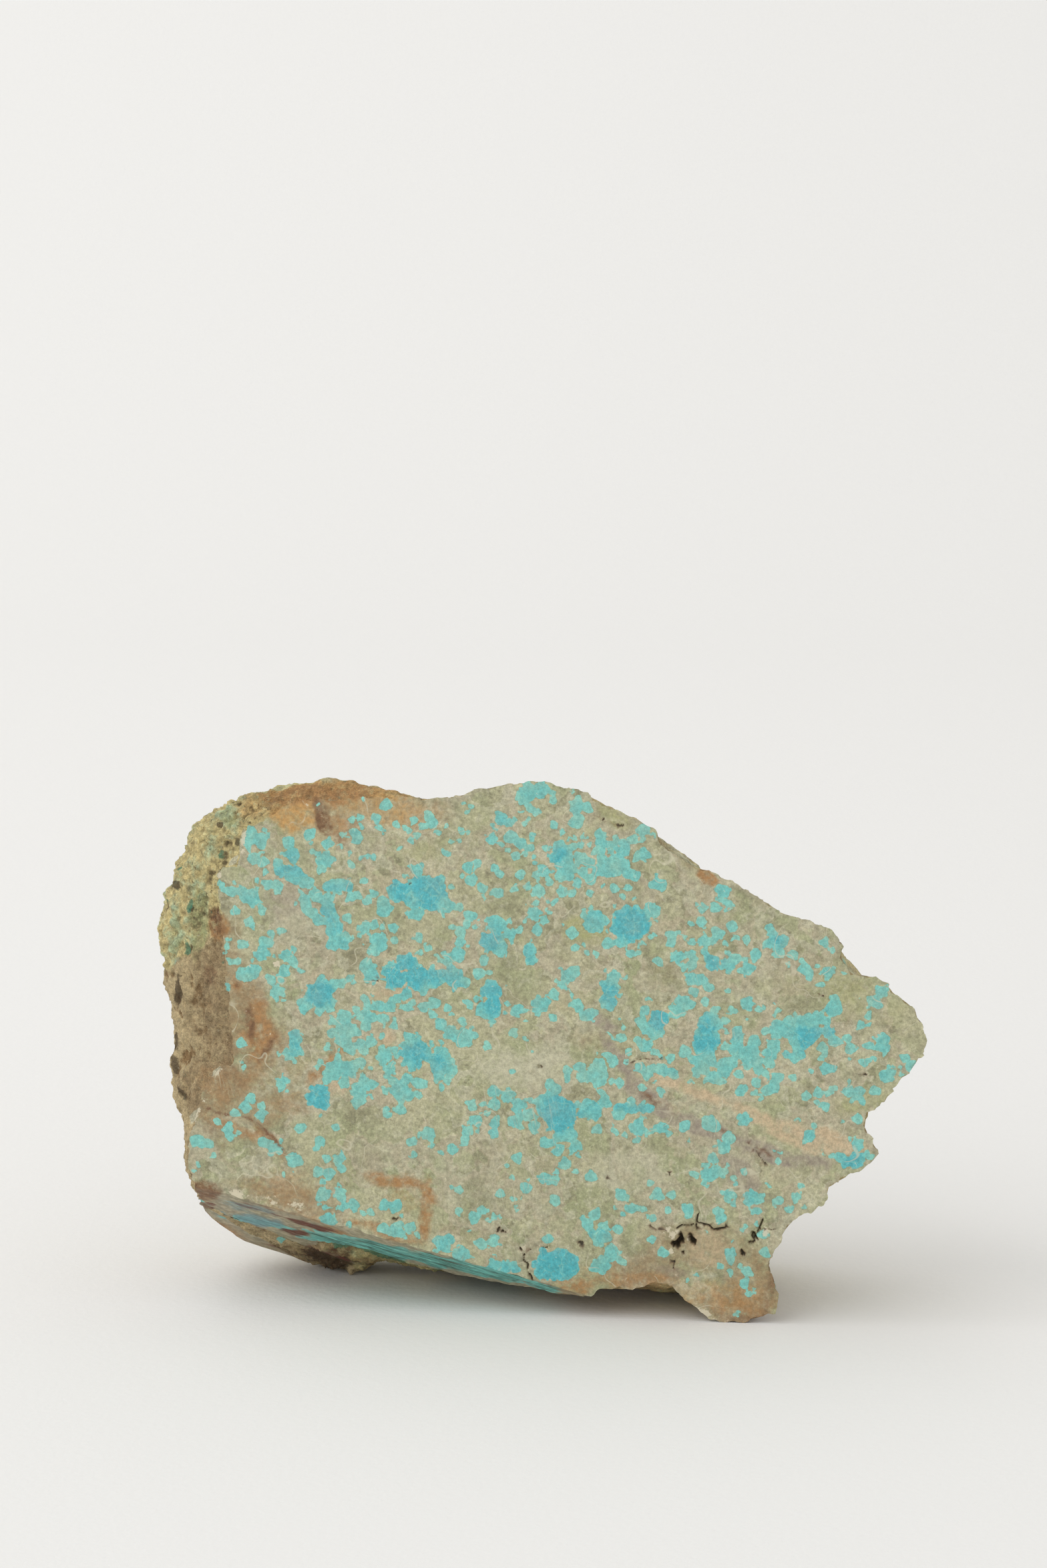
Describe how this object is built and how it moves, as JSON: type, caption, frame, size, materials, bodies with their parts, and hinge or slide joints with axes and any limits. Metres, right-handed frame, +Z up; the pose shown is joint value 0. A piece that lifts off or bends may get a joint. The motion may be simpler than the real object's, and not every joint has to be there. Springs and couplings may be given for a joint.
{
  "type": "raw turquoise nugget",
  "caption": "Rough chunk of turquoise-spotted rock, sawn flat on one broad face and along a lower edge, that stands on edge on a knob and a foot.",
  "frame": {"origin": "centre of the stone's box, on the surface it stands on", "axes": "+X along the stone's length, from the rind on the left to the notched point on the right; -Y out of the sawn face; +Z up as it stands"},
  "size_m": [0.117, 0.0406, 0.082],
  "materials": {
    "turquoise_rock": "satin"
  },
  "bodies": {
    "root": {"turquoise_nugget": "turquoise_rock"}
  },
  "joints": []
}
